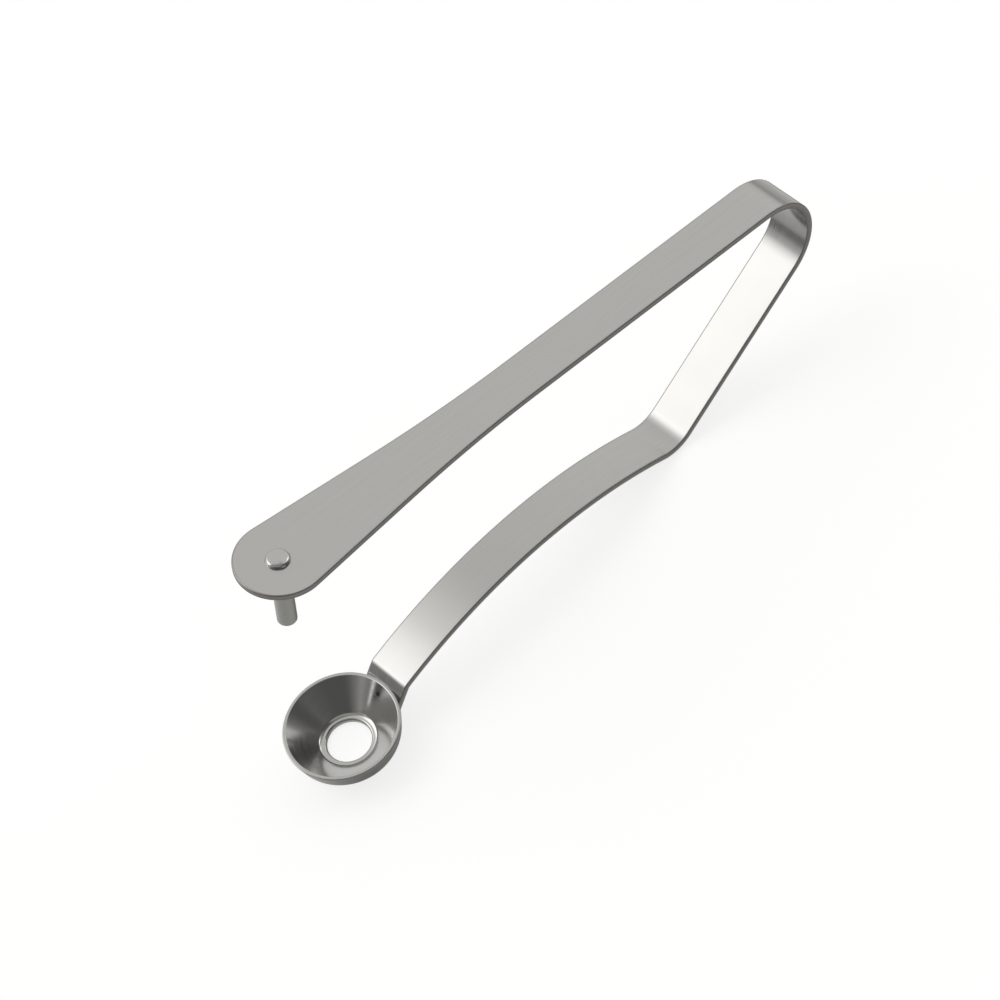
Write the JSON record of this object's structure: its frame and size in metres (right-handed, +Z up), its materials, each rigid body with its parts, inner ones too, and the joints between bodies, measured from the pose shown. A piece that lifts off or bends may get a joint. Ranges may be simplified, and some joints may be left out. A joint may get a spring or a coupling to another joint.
{
  "type": "fruit pitter",
  "caption": "Sprung steel tongs that punch the stone out of a cherry or olive: a holed cup on the lower arm and a punch pin on the upper arm.",
  "frame": {"origin": "on the axis of the cup's hole, at the bottom of the foot that the cup stands on, which is also the height of the knee's lowest line", "axes": "+Z up along the cup's axis, +X from the cup to the bow, +Y across the strip"},
  "size_m": [0.1653, 0.0268, 0.0764],
  "materials": {
    "strip_steel": "fine satin, brushed along the strip, on cold-rolled stainless strip",
    "cup_steel": "polished inside, satin outside, turned from stainless bar",
    "pin_steel": "turned bar, with a domed head from peening",
    "weld_steel": "cleaned weld, dull and slightly rippled"
  },
  "bodies": {
    "lower_body": {"lower_arm": "strip_steel", "spring_bow": "strip_steel", "pitting_cup": "cup_steel", "weld_bead": "weld_steel"},
    "upper_body": {"upper_arm": "strip_steel", "punch_pin": "pin_steel"}
  },
  "joints": [
    {"name": "bow_flex", "type": "hinge", "parent": "lower_body", "child": "upper_body", "pos_m": [0.13831, 0, 0.03263], "axis": [0, -1, 0], "range_deg": [0, 27], "stiffness_Nm_per_rad": 5, "deforming": ["spring_bow"]}
  ]
}
